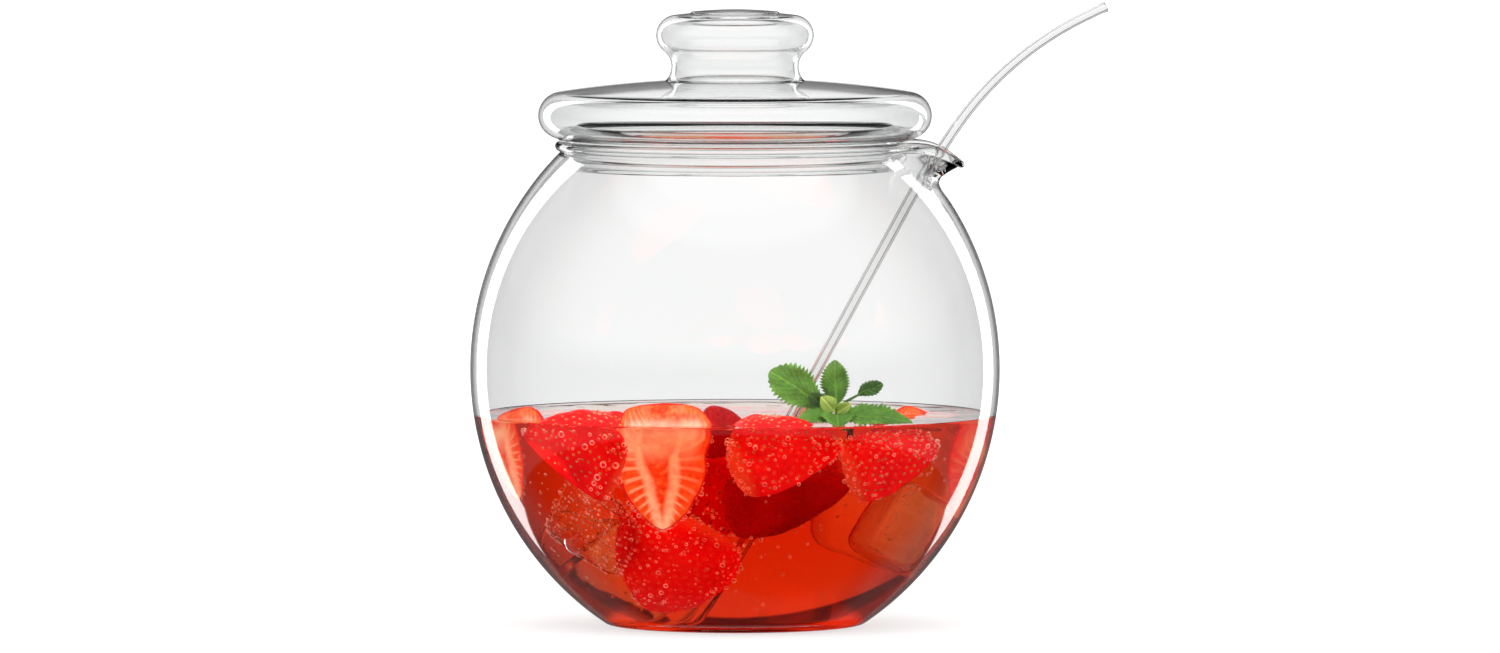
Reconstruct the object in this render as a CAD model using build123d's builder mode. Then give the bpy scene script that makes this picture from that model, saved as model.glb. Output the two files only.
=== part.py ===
"""Lidded glass punch bowl with a ladle.

Millimetres, +Z up. The origin is the centre of the base's flat underside. The pouring lip points along +X,
and the whole object is symmetric about the XZ plane.
"""

import os
from math import asin, atan2, degrees, hypot, sqrt

from build123d import *

# Bowl: one arc makes the body's outline from the base to the neck.
BELLY_RADIUS = 116.6
BELLY_HEIGHT = 113.0
BODY_ARC = 135.5
BODY_WALL = 3.0
FOOT_FILLET = 9.0
FLOOR_HEIGHT = 4.0
FLOOR_FILLET = 14.0

# Rim of the bowl.
MOUTH_RADIUS = 73.8
RIM_RADIUS = 79.2
RIM_TOP = 213.6
BEAD_RADIUS = 2.3
NECK_HEIGHT = 208.6

# Pouring lip: each station is (distance from the axis, half width, lowest point, shoulder height).
# The channel's stations run from inside the body to past the tip, and its walls are inset from them.
LIP_STATIONS = [(74.0, 27.0, 188.6, 205.0), (88.0, 17.0, 194.8, 206.0), (100.0, 6.5, 201.4, 205.0)]
CHANNEL_STATIONS = [(70.0, 29.0, 182.6, 205.0), (88.0, 17.0, 194.4, 206.0), (104.0, 5.2, 203.6, 206.0)]
LIP_WALL = 2.6
LIP_EDGE = [(80.0, 213.6), (92.0, 210.6), (101.0, 202.4)]
LIP_EDGE_TANGENTS = [(1.0, 0.0), (0.72, -0.7)]
LIP_WIDTH = 80.0

# Lid: a bulge of round section, a shallow dome and a collar with a bead.
LID_WALL = 2.2
BULGE_CENTRE = (76.2, 224.7)
BULGE_RADIUS = 10.5
DOME_TOP = 240.9
COLLAR_RADIUS = 71.2
COLLAR_BEAD_RADIUS = 2.5
COLLAR_BEAD_HEIGHT = 202.4
DOME_HOLE_RADIUS = 24.0
DOME_HOLE_BOTTOM = 230.9

# Knob on the lid.
KNOB_CENTRE = (25.7, 260.0)
KNOB_RADIUS = 9.0
KNOB_TOP = 270.6
KNOB_NECK_RADIUS = 28.0
KNOB_NECK_HEIGHT = 246.2
KNOB_FOOT = 239.2
KNOB_HOLLOW_FOOT = 238.2
KNOB_DISC_RADIUS = 19.4
KNOB_DISC_RISE = 0.8
KNOB_DISC_DEPTH = 3.4
KNOB_DISC_FILLET = 0.7

# Ladle: a straight handle, then two bends, given by the corners that the bends round off.
HANDLE_CORNERS = [(-15.5, 18.0), (82.0, 197.0), (118.2, 250.7), (163.4, 272.7)]
HANDLE_BENDS = (300.0, 145.0)
HANDLE_RADIUS = 2.4
HANDLE_BORE = 1.35
HANDLE_SEALED_LENGTH = 20.0
CUP_RADIUS = 31.0
CUP_WALL = 2.0
CUP_CENTRE_HEIGHT = 41.0
CUP_RIM_RISE = 8.0
CUP_BEAD_RADIUS = 1.2
CUP_WELD_DEPTH = 0.8

# How far a cutting shape runs past the glass that it cuts.
PAST = 20.0

BODY_CENTRE = (BELLY_RADIUS - BODY_ARC, BELLY_HEIGHT)


def cap_radius(centre, radius, top):
    """Radius of the axis-centred cap that reaches a height and meets a rounded edge smoothly."""
    rise = top - centre[1]
    return (centre[0] ** 2 + rise**2 - radius**2) / (2 * (rise - radius))


def bowl_outside():
    """Half outline of the bowl as if it were solid glass, up to the rim."""
    foot_angle = degrees(asin(-BODY_CENTRE[1] / BODY_ARC))
    neck_angle = degrees(asin((NECK_HEIGHT - BODY_CENTRE[1]) / BODY_ARC))
    bead = (RIM_RADIUS - BEAD_RADIUS, RIM_TOP - BEAD_RADIUS)
    with BuildLine(Plane.XZ) as outline:
        body = CenterArc(BODY_CENTRE, BODY_ARC, foot_angle, neck_angle - foot_angle)
        neck = Line(body @ 1, (bead[0], bead[1] - BEAD_RADIUS))
        rim = CenterArc(bead, BEAD_RADIUS, -90, 180)
        Polyline(rim @ 1, (0, RIM_TOP), (0, 0), body @ 0)
    return outline


def bowl_inside():
    """Half outline of the cavity, from the floor through the mouth and past the rim."""
    inner_arc = BODY_ARC - BODY_WALL
    floor_angle = degrees(asin((FLOOR_HEIGHT - BODY_CENTRE[1]) / inner_arc))
    mouth_angle = degrees(atan2(sqrt(inner_arc**2 - (MOUTH_RADIUS - BODY_CENTRE[0]) ** 2),
                                MOUTH_RADIUS - BODY_CENTRE[0]))
    with BuildLine(Plane.XZ) as outline:
        body = CenterArc(BODY_CENTRE, inner_arc, floor_angle, mouth_angle - floor_angle)
        throat = Line(body @ 1, (MOUTH_RADIUS, RIM_TOP - BEAD_RADIUS))
        lip = CenterArc((MOUTH_RADIUS + BEAD_RADIUS, RIM_TOP - BEAD_RADIUS), BEAD_RADIUS, 180, -90)
        above = RIM_TOP + PAST
        Polyline(lip @ 1, (MOUTH_RADIUS + BEAD_RADIUS, above), (0, above), (0, FLOOR_HEIGHT), body @ 0)
    return outline


def lip_section(station, inset, top):
    """Rounded trough across the pouring lip, in the plane at right angles to +X."""
    reach, half_width, low, shoulder = station
    side = half_width - inset
    with BuildSketch(Plane(origin=(reach, 0, 0), x_dir=(0, 1, 0), z_dir=(1, 0, 0))) as section:
        with BuildLine():
            ThreePointArc((-side, shoulder), (0, low + inset), (side, shoulder))
            Polyline((side, shoulder), (side, top), (-side, top), (-side, shoulder))
        make_face()
    return section.sketch


def above_lip_edge():
    """Everything above the lip's edge, which falls towards the tip."""
    with BuildPart() as waste:
        with BuildSketch(Plane.XZ) as side:
            with BuildLine():
                edge = Spline(*LIP_EDGE, tangents=LIP_EDGE_TANGENTS)
                (start_x, start_z), (end_x, end_z) = LIP_EDGE[0], LIP_EDGE[-1]
                near, far, above = start_x - PAST, end_x + PAST, start_z + PAST
                Polyline(edge @ 1, (far, end_z), (far, above), (near, above), (near, start_z), edge @ 0)
            make_face()
        extrude(amount=LIP_WIDTH / 2, both=True)
    return waste.part


def make_bowl():
    """Blown bowl: body, thick base, rolled rim and pulled lip in one piece of glass."""
    with BuildPart() as lip:
        loft([lip_section(station, 0, RIM_TOP + BEAD_RADIUS) for station in LIP_STATIONS])
        add(above_lip_edge(), mode=Mode.SUBTRACT)

    with BuildPart() as channel:
        loft([lip_section(station, LIP_WALL, RIM_TOP + PAST) for station in CHANNEL_STATIONS])

    with BuildPart() as cavity:
        with BuildSketch(Plane.XZ):
            add(bowl_inside().line)
            make_face()
        revolve(axis=Axis.Z)
        fillet(cavity.edges().filter_by(GeomType.CIRCLE).sort_by(Axis.Z)[0], FLOOR_FILLET)
        add(channel.part)

    with BuildPart() as bowl:
        with BuildSketch(Plane.XZ):
            add(bowl_outside().line)
            make_face()
        revolve(axis=Axis.Z)
        fillet(bowl.edges().filter_by(GeomType.CIRCLE).sort_by(Axis.Z)[0], FOOT_FILLET)
        add(lip.part)
        add(cavity.part, mode=Mode.SUBTRACT)
    return bowl


def lid_outline(inset, collar_bottom):
    """Half outline of the lid, moved inwards by an inset, from the collar round the bulge to the dome."""
    dome_radius = cap_radius(BULGE_CENTRE, BULGE_RADIUS, DOME_TOP)
    dome_centre = (0, DOME_TOP - dome_radius)
    collar = COLLAR_RADIUS - inset
    bulge = BULGE_RADIUS - inset
    start = degrees(atan2(-sqrt(bulge**2 - (BULGE_CENTRE[0] - collar) ** 2), collar - BULGE_CENTRE[0]))
    end = degrees(atan2(BULGE_CENTRE[1] - dome_centre[1], BULGE_CENTRE[0]))
    with BuildLine(Plane.XZ) as outline:
        edge = CenterArc(BULGE_CENTRE, bulge, start, end - start)
        dome = CenterArc(dome_centre, dome_radius - inset, end, 90 - end)
        Polyline(dome @ 1, (0, collar_bottom), (collar, collar_bottom), edge @ 0)
    return outline


def make_lid():
    """Hollow lid with a collar that hangs in the mouth and a bead round the collar's end."""
    with BuildPart() as hollow:
        with BuildSketch(Plane.XZ):
            add(lid_outline(LID_WALL, COLLAR_BEAD_HEIGHT - PAST).line)
            make_face()
        revolve(axis=Axis.Z)
        with BuildSketch(Plane.XY.offset(DOME_HOLE_BOTTOM)):
            Circle(DOME_HOLE_RADIUS)
        extrude(amount=PAST)

    with BuildPart() as lid:
        with BuildSketch(Plane.XZ):
            add(lid_outline(0, COLLAR_BEAD_HEIGHT).line)
            make_face()
        revolve(axis=Axis.Z)
        add(hollow.part, mode=Mode.SUBTRACT)
        with BuildSketch(Plane.XZ):
            with Locations((COLLAR_RADIUS - LID_WALL / 2, COLLAR_BEAD_HEIGHT)):
                Circle(COLLAR_BEAD_RADIUS)
        revolve(axis=Axis.Z)
    return lid


def knob_outline(inset, foot):
    """Half outline of the knob, moved inwards by an inset: waisted neck, round edge, shallow top."""
    edge_radius = KNOB_RADIUS - inset
    rise = KNOB_CENTRE[1] - KNOB_NECK_HEIGHT
    run = KNOB_NECK_RADIUS - KNOB_CENTRE[0]
    waist = (rise**2 + run**2 - KNOB_RADIUS**2) / (2 * (KNOB_RADIUS - run))
    waist_centre = (KNOB_NECK_RADIUS + waist, KNOB_NECK_HEIGHT)
    waist_radius = waist + inset
    waist_low = degrees(asin((foot - KNOB_NECK_HEIGHT) / waist_radius))
    top_radius = cap_radius(KNOB_CENTRE, KNOB_RADIUS, KNOB_TOP)
    top_centre = (0, KNOB_TOP - top_radius)
    meet = degrees(atan2(rise, KNOB_CENTRE[0] - waist_centre[0]))
    edge_end = degrees(atan2(KNOB_CENTRE[1] - top_centre[1], KNOB_CENTRE[0]))
    with BuildLine(Plane.XZ) as outline:
        neck = CenterArc(waist_centre, waist_radius, 180 - waist_low, meet - 180 + waist_low)
        CenterArc(KNOB_CENTRE, edge_radius, meet - 180, edge_end - meet + 180)
        top = CenterArc(top_centre, top_radius - inset, edge_end, 90 - edge_end)
        Polyline(top @ 1, (0, foot), neck @ 0)
    return outline


def make_knob():
    """Hollow knob with a thick centre disc, cut at its foot to the dome it is fused on."""
    with BuildPart() as hollow:
        with BuildSketch(Plane.XZ):
            add(knob_outline(LID_WALL, KNOB_HOLLOW_FOOT).line)
            make_face()
        revolve(axis=Axis.Z)

    with BuildPart() as under:
        with BuildSketch(Plane.XZ):
            add(lid_outline(0, COLLAR_BEAD_HEIGHT).line)
            make_face()
        revolve(axis=Axis.Z)

    with BuildPart() as knob:
        with BuildSketch(Plane.XZ):
            add(knob_outline(0, KNOB_FOOT).line)
            make_face()
        revolve(axis=Axis.Z)
        add(hollow.part, mode=Mode.SUBTRACT)
        add(under.part, mode=Mode.SUBTRACT)
        with BuildSketch(Plane.XY.offset(KNOB_TOP + KNOB_DISC_RISE - KNOB_DISC_DEPTH)):
            Circle(KNOB_DISC_RADIUS)
        extrude(amount=KNOB_DISC_DEPTH)
        fillet(knob.edges().filter_by(GeomType.CIRCLE).sort_by(Axis.Z)[-1], KNOB_DISC_FILLET)
    return knob


def handle_direction():
    """Unit direction of the handle's straight part, as its X and Z."""
    (low_x, low_z), (high_x, high_z) = HANDLE_CORNERS[:2]
    length = hypot(high_x - low_x, high_z - low_z)
    return (high_x - low_x) / length, (high_z - low_z) / length


def cup_centre():
    """Centre of the cup, which lies beside the straight handle and is just sunk into its side."""
    across, up = handle_direction()
    offset = CUP_RADIUS + HANDLE_RADIUS - CUP_WELD_DEPTH
    low_x, low_z = HANDLE_CORNERS[0]
    beside_z = CUP_CENTRE_HEIGHT - offset * across
    beside_x = low_x + (beside_z - low_z) * across / up
    return beside_x - offset * up, CUP_CENTRE_HEIGHT


def make_cup():
    """Round ladle cup, open towards the handle's far end."""
    across, up = handle_direction()
    centre_x, centre_z = cup_centre()
    centre = (centre_x, 0, centre_z)
    rim_outer = sqrt(CUP_RADIUS**2 - CUP_RIM_RISE**2)
    with BuildPart() as cup:
        with BuildSketch(Plane(origin=centre, x_dir=(up, 0, -across), z_dir=(0, -1, 0))):
            Circle(CUP_RADIUS)
            Circle(CUP_RADIUS - CUP_WALL, mode=Mode.SUBTRACT)
            with Locations((-CUP_RADIUS, 0)):
                Rectangle(2 * CUP_RADIUS, 4 * CUP_RADIUS, mode=Mode.SUBTRACT)
            with Locations((0, CUP_RIM_RISE + CUP_RADIUS)):
                Rectangle(4 * CUP_RADIUS, 2 * CUP_RADIUS, mode=Mode.SUBTRACT)
            with Locations((rim_outer - CUP_WALL / 2, CUP_RIM_RISE)):
                Circle(CUP_BEAD_RADIUS)
        revolve(axis=Axis(centre, (across, 0, up)))
    return cup


def handle_path(start_length):
    """Centre line of the handle, from a distance above its low end up to the open end."""
    across, up = handle_direction()
    low_x, low_z = HANDLE_CORNERS[0]
    start = (low_x + across * start_length, low_z + up * start_length)
    with BuildLine(Plane.XZ) as path:
        FilletPolyline(start, *HANDLE_CORNERS[1:], radius=HANDLE_BENDS)
    return path


def make_handle():
    """Glass tube, sealed low down where it is fused on the cup and open at its far end."""
    with BuildPart() as bore:
        path = handle_path(HANDLE_SEALED_LENGTH).line
        with BuildSketch(path ^ 0):
            Circle(HANDLE_BORE)
        sweep(path=path)

    with BuildPart() as cup_body:
        centre_x, centre_z = cup_centre()
        with Locations((centre_x, 0, centre_z)):
            Sphere(CUP_RADIUS)

    with BuildPart() as handle:
        path = handle_path(0).line
        with BuildSketch(path ^ 0):
            Circle(HANDLE_RADIUS)
        sweep(path=path)
        add(bore.part, mode=Mode.SUBTRACT)
        add(cup_body.part, mode=Mode.SUBTRACT)
    return handle


os.makedirs("parts", exist_ok=True)

bowl = make_bowl()
bowl.part.label = "bowl"
export_step(bowl.part, "parts/bowl.step")

lid = make_lid()
lid.part.label = "lid"
export_step(lid.part, "parts/lid.step")

lid_knob = make_knob()
lid_knob.part.label = "lid_knob"
export_step(lid_knob.part, "parts/lid_knob.step")

ladle_handle = make_handle()
ladle_handle.part.label = "ladle_handle"
export_step(ladle_handle.part, "parts/ladle_handle.step")

ladle_cup = make_cup()
ladle_cup.part.label = "ladle_cup"
export_step(ladle_cup.part, "parts/ladle_cup.step")
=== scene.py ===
from math import acos, asin, atan2, cos, degrees, dist, exp, hypot, pi, radians, sin, sqrt, tan

import bpy
import numpy as np
from mathutils import Matrix, Vector
from numpy.linalg import norm

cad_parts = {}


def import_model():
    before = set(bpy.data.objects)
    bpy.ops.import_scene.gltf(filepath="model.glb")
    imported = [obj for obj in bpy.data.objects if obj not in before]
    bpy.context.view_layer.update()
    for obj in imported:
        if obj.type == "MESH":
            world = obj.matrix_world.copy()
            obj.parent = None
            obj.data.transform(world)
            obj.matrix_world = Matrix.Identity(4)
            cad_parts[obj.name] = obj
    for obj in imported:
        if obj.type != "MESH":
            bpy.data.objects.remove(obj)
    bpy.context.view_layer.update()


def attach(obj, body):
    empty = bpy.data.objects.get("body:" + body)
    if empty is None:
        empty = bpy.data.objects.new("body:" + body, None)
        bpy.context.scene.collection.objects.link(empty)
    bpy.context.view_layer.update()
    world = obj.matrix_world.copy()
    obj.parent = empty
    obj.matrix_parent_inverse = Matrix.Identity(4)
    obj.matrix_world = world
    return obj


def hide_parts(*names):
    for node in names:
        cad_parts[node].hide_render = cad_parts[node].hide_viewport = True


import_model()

# Lengths in this script are millimetres until a mesh is made, when they become metres.
MM = 0.001

# Bowl. Its body is one arc, turned about Z.
BODY_X, BODY_Z = BODY_CENTRE = (-18.9, 113.0)
BODY_ARC = 135.5
WALL = 3.0
FLOOR = 4.0
FOOT = 9.0
WELL = 14.0
RIM_TOP = 213.6
BEAD = 2.3
MOUTH = 73.8
RIM = 79.2
NECK = 208.6
NECK_STEP = 0.4
MOUTH_FOOT = 208.2

# Punch.
LEVEL = 92.5
MENISCUS = 0.9
MENISCUS_REACH = 2.0
OVERLAP = 0.35
RIPPLE = 0.09
RIPPLE_REACH = 107

scene = bpy.context.scene


# ---- mesh helpers

def arc(centre, radius, start, end, count):
    """Points on an arc of an outline, with angles in degrees."""
    turn = np.radians(np.linspace(start, end, count))
    return [(centre[0] + radius * cos(t), centre[1] + radius * sin(t)) for t in turn]


def line(a, b, count):
    """Points from a to b."""
    return [tuple(np.array(a) + (np.array(b) - np.array(a)) * f) for f in np.linspace(0, 1, count)]


def unit(v):
    v = np.asarray(v, float)
    return v / norm(v)


def lengths(path):
    """Length along a path at each of its points."""
    return np.concatenate([[0], np.cumsum(norm(np.diff(path, axis=0), axis=1))])


def joined(*runs):
    """One outline from several runs of points, without doubled points."""
    out = []
    for run in runs:
        for p in run:
            if not out or dist(p, out[-1]) > 0.02:
                out.append((float(p[0]), float(p[1])))
    return out


def spline(points, fractions):
    """Catmull-Rom curve through points, read at fractions of its length."""
    p = np.array(points, float)
    p = np.vstack([2 * p[0] - p[1], p, 2 * p[-1] - p[-2]])
    dense = []
    for i in range(1, len(p) - 2):
        for t in np.linspace(0, 1, 24, endpoint=False):
            a, b, c, d = p[i - 1:i + 3]
            dense.append(0.5 * (2 * b + (c - a) * t + (2 * a - 5 * b + 4 * c - d) * t**2
                                + (3 * b - a - 3 * c + d) * t**3))
    dense = np.array(dense + [p[-2]])
    run = lengths(dense)
    at = np.asarray(fractions) * run[-1]
    return np.stack([np.interp(at, run, dense[:, k]) for k in range(dense.shape[1])], axis=-1)


def flipped(faces):
    return [tuple(reversed(f)) for f in faces]


def outward(v, faces):
    """The faces with their normals pointing out of the solid."""
    v = np.asarray(v)
    tris = np.array([(f[0], f[i], f[i + 1]) for f in faces for i in range(1, len(f) - 1)])
    volume = np.einsum("ij,ij->i", v[tris[:, 0]], np.cross(v[tris[:, 1]], v[tris[:, 2]])).sum()
    return flipped(faces) if volume < 0 else faces


def revolved(outline, segments=288, shape=None):
    """Vertices and faces of an outline turned about Z.

    Ends on the axis become poles; otherwise the outline is closed.
    """
    pts = np.array(outline, float)
    poles = pts[0, 0] < 1e-6 and pts[-1, 0] < 1e-6
    ring = pts[1:-1] if poles else pts
    rows = []
    for k in range(segments):
        turn = 2 * pi * k / segments
        prof = shape(ring, turn) if shape else ring
        r, z = prof.T
        rows.append(np.column_stack([r * cos(turn), r * sin(turn), z]))
    v = np.concatenate(rows)
    n = len(ring)
    faces = []
    for k in range(segments):
        a, b = k * n, ((k + 1) % segments) * n
        for i in range(n - 1):
            faces.append((a + i, b + i, b + i + 1, a + i + 1))
        if not poles:
            faces.append((a + n - 1, b + n - 1, b, a))
    if poles:
        low, high = len(v), len(v) + 1
        v = np.vstack([v, [0, 0, pts[0, 1]], [0, 0, pts[-1, 1]]])
        for k in range(segments):
            a, b = k * n, ((k + 1) % segments) * n
            faces.append((low, b, a))
            faces.append((high, a + n - 1, b + n - 1))
    return v, outward(v, faces)


def make(name, v, faces, body, mats, index=None, attributes=(), replaces=(), slot=None):
    """A mesh piece in metres that rides on a body."""
    mesh = bpy.data.meshes.new(name)
    mesh.from_pydata((np.asarray(v) * MM).tolist(), [], [tuple(int(i) for i in f) for f in faces])
    mesh.update()
    mesh.polygons.foreach_set("use_smooth", [True] * len(mesh.polygons))
    for m in mats:
        mesh.materials.append(m)
    if index is not None:
        mesh.polygons.foreach_set("material_index", index)
    for key, values in dict(attributes).items():
        data = mesh.attributes.new(key, "FLOAT", "POINT")
        data.data.foreach_set("value", np.asarray(values, np.float32))
    obj = bpy.data.objects.new(name, mesh)
    scene.collection.objects.link(obj)
    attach(obj, body)
    if replaces:
        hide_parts(*replaces)


def tube_faces(rows, sides, low, high, first=0):
    """Faces round a tube's rows of points, which start at the index first, and its ends at low and high."""
    ring = [(k, (k + 1) % sides) for k in range(sides)]
    faces = []
    for i in range(rows - 1):
        a, b = first + i * sides, first + (i + 1) * sides
        faces += [(a + k, a + m, b + m, b + k) for k, m in ring]
    last = first + (rows - 1) * sides
    for k, m in ring:
        faces += [(low, first + m, first + k), (high, last + k, last + m)]
    return faces


def icosphere(level):
    """Unit icosphere as vertices and triangles."""
    g = (1 + 5**0.5) / 2
    v = [(-1, g, 0), (1, g, 0), (-1, -g, 0), (1, -g, 0), (0, -1, g), (0, 1, g), (0, -1, -g), (0, 1, -g),
         (g, 0, -1), (g, 0, 1), (-g, 0, -1), (-g, 0, 1)]
    f = [(0, 11, 5), (0, 5, 1), (0, 1, 7), (0, 7, 10), (0, 10, 11), (1, 5, 9), (5, 11, 4),
         (11, 10, 2), (10, 7, 6), (7, 1, 8), (3, 9, 4), (3, 4, 2), (3, 2, 6), (3, 6, 8), (3, 8, 9),
         (4, 9, 5), (2, 4, 11), (6, 2, 10), (8, 6, 7), (9, 8, 1)]
    v = [unit(p) for p in v]
    for _ in range(level):
        middle, new = {}, []

        def mid(a, b):
            key = (min(a, b), max(a, b))
            if key not in middle:
                v.append(unit(v[a] + v[b]))
                middle[key] = len(v) - 1
            return middle[key]
        for a, b, c in f:
            ab, bc, ca = mid(a, b), mid(b, c), mid(c, a)
            new += [(a, ab, ca), (b, bc, ab), (c, ca, bc), (ab, bc, ca)]
        f = new
    return np.array(v), f


def smooth_noise(points, seed, scale, octaves=3):
    """Smooth noise from seeded sines, about -1 to 1, at points in millimetres."""
    rng = np.random.default_rng(seed)
    p = np.asarray(points, float)
    total, weight = np.zeros(len(p)), 0.0
    for o in range(octaves):
        amp = 0.55**o
        for _ in range(5):
            k = rng.normal(size=3)
            k *= 2 * pi / (scale * 0.6**o) / norm(k)
            total += amp * np.sin(p @ k + rng.uniform(0, 2 * pi))
        weight += amp * 1.6
    return total / weight


def smoothstep(low, high, x):
    t = np.clip((np.asarray(x, float) - low) / (high - low), 0, 1)
    return t * t * (3 - 2 * t)


# ---- material helpers

class Nodes:
    """Builds a node tree with few words. An input is a socket, a number or a colour."""

    def __init__(self, tree):
        self.tree = tree

    def add(self, kind, inputs=(), **props):
        node = self.tree.nodes.new("ShaderNode" + kind)
        for key, value in props.items():
            setattr(node, key, value)
        for key, value in dict(inputs).items():
            self.put(node.inputs[key], value)
        return node

    def put(self, socket, value):
        if isinstance(value, bpy.types.NodeSocket):
            self.tree.links.new(value, socket)
        else:
            socket.default_value = value

    def math(self, op, a, b=0.0):
        return self.add("Math", {0: a, 1: b}, operation=op).outputs[0]

    def times(self, a, b, *more):
        product = self.math("MULTIPLY", a, b)
        return self.times(product, *more) if more else product

    def larger(self, a, b):
        return self.math("MAXIMUM", a, b)

    def span(self, value, low, high, to_low=0.0, to_high=1.0, smooth=True):
        """Value mapped from one range to another, clamped."""
        limits = {"From Min": low, "From Max": high, "To Min": to_low, "To Max": to_high}
        kind = "SMOOTHSTEP" if smooth else "LINEAR"
        node = self.add("MapRange", {"Value": value, **limits}, interpolation_type=kind)
        return node.outputs["Result"]

    def ramp(self, value, stops):
        node = self.add("ValToRGB", {0: value})
        elements = node.color_ramp.elements
        elements.remove(elements[0])
        elements[0].position = stops[0][0]
        elements[0].color = (*stops[0][1], 1)
        for at, colour in stops[1:]:
            elements.new(at).color = (*colour, 1)
        return node.outputs[0]

    def mix(self, factor, a, b):
        return self.add("Mix", {0: factor, 6: a, 7: b}, data_type="RGBA").outputs[2]

    def noise(self, scale, detail=3.0, vector=None):
        if vector is None:
            vector = self.add("TexCoord").outputs["Object"]
        inputs = {"Scale": scale, "Detail": detail, "Vector": vector}
        return self.add("TexNoise", inputs).outputs["Fac"]

    def grey(self, level):
        """A colour with the same level in all three channels."""
        return self.add("CombineColor", {0: level, 1: level, 2: level}).outputs[0]

    def facing(self):
        """0 where the surface faces the eye, 1 at its outline."""
        return self.add("LayerWeight", {"Blend": 0.5}).outputs["Facing"]

    def attribute(self, name):
        return self.add("Attribute", attribute_name=name).outputs["Fac"]

    def bump(self, height, strength, distance):
        inputs = {"Height": height, "Strength": strength, "Distance": distance}
        return self.add("Bump", inputs).outputs["Normal"]


def material(name, **sockets):
    """A Principled material, its nodes and its setter. A constant is set on the socket itself."""
    mat = bpy.data.materials.new(name)
    mat.use_nodes = True
    n = Nodes(mat.node_tree)
    bsdf = mat.node_tree.nodes["Principled BSDF"]

    def put(key, value):
        n.put(bsdf.inputs[key.replace("_", " ")], value)

    for key, value in sockets.items():
        put(key, value)
    return mat, n, put


def glass(name, colour, ior, wave, seed, edge=1.0, edge_from=0.76, edge_to=0.87):
    """Clear glass with faint waves and a few polished streaks. Painted shade darkens its colour towards its
    outline, in place of the dark surroundings that glass refracts there.
    """
    mat, n, put = material(name, Base_Color=(*colour, 1), IOR=ior, Transmission_Weight=1.0, Roughness=0.0)
    coord = n.add("TexCoord").outputs["Object"]
    shift = (seed * 1.7, seed * 0.6, seed)
    moved = n.add("Mapping", {"Vector": coord, "Location": shift}).outputs[0]
    put("Roughness", n.span(n.noise(45.0, 2.0, moved), 0.62, 0.85, 0.0, 0.03))
    put("Normal", n.bump(n.noise(16.0, 1.0, moved), 0.25, wave))
    # Painted shade: a darker colour mixed in by viewing angle towards the outline, when edge is below 1.
    if edge < 1:
        dark = (edge, edge * 1.04, edge * 1.02, 1)
        put("Base Color", n.mix(n.span(n.facing(), edge_from, edge_to), (*colour, 1), dark))
    return mat


# The bowl and the lid get painted shade at their outlines.
bowl_glass = glass("bowl_glass", (0.985, 0.99, 0.987), 1.47, 0.0003, 1.0, 0.1)
lid_glass = glass("lid_glass", (0.98, 0.988, 0.984), 1.47, 0.0003, 2.0, 0.1, 0.8, 0.93)
ladle_glass = glass("ladle_glass", (0.985, 0.99, 0.988), 1.47, 0.0001, 3.0)
cup_glass = glass("ladle_cup_glass", (0.985, 0.99, 0.988), 1.2, 0.0001, 4.0)

PUNCH = dict(Base_Color=(1, 1, 1, 1), IOR=1.33, Transmission_Weight=1.0, Roughness=0.0)


def punch_material():
    """Red punch: colour comes from the depth of liquid that light crosses."""
    mat, n, put = material("punch", **PUNCH)
    volume = n.add("VolumeAbsorption", {"Color": (0.965, 0.39, 0.0, 1), "Density": 34.0})
    n.put(n.tree.nodes["Material Output"].inputs["Volume"], volume.outputs[0])
    put("Normal", n.bump(n.noise(60.0, 2.0), 0.05, 0.0002))
    return mat


def bubble_material():
    """Gas bubble in the punch: clear, with a painted reflection: a pale glowing rim in place of the one that
    total reflection gives it.
    """
    mat, n, put = material("punch_bubble", **PUNCH)
    # Painted reflection: a pale pink glow towards the bubble's outline.
    rim = n.span(n.facing(), 0.3, 0.85)
    put("Emission Color", (1.0, 0.5, 0.42, 1))
    put("Emission Strength", n.times(rim, n.span(n.noise(220.0, 1.0), 0.35, 0.65, 0.35, 1.2)))
    return mat


punch, bubble_painted_rim = punch_material(), bubble_material()

# ---- bowl

def tangent_corner(reach, height):
    """Centre of a rounding that touches the body's arc from inside, and the angle where it does."""
    centre = (BODY_X + sqrt(reach**2 - (BODY_Z - height) ** 2), height)
    return centre, degrees(atan2(centre[1] - BODY_Z, centre[0] - BODY_X))


foot_centre, foot_angle = tangent_corner(BODY_ARC - FOOT, FOOT)
well_centre, well_angle = tangent_corner(BODY_ARC - WALL - WELL, FLOOR + WELL)
neck_angle = degrees(asin((NECK - BODY_Z) / BODY_ARC))
mouth_angle = degrees(acos((MOUTH - BODY_X) / (BODY_ARC - WALL)))

outside = joined(line((0, 0), (foot_centre[0], 0), 10), arc(foot_centre, FOOT, -90, foot_angle, 14),
                 arc(BODY_CENTRE, BODY_ARC, foot_angle, neck_angle, 150))
rim_bead = joined([(RIM - BEAD, NECK + NECK_STEP)],
                  arc((RIM - BEAD, RIM_TOP - BEAD), BEAD, -90, 90, 16),
                  arc((MOUTH + BEAD, RIM_TOP - BEAD), BEAD, 90, 180, 9))
inside = joined(line((MOUTH, RIM_TOP - BEAD), (MOUTH, MOUTH_FOOT), 5),
                arc(BODY_CENTRE, BODY_ARC - WALL, mouth_angle, well_angle, 150),
                arc(well_centre, WELL, well_angle, -90, 16), line((well_centre[0], FLOOR), (0, FLOOR), 10))
bowl_outline = joined(outside, rim_bead, inside)

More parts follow.
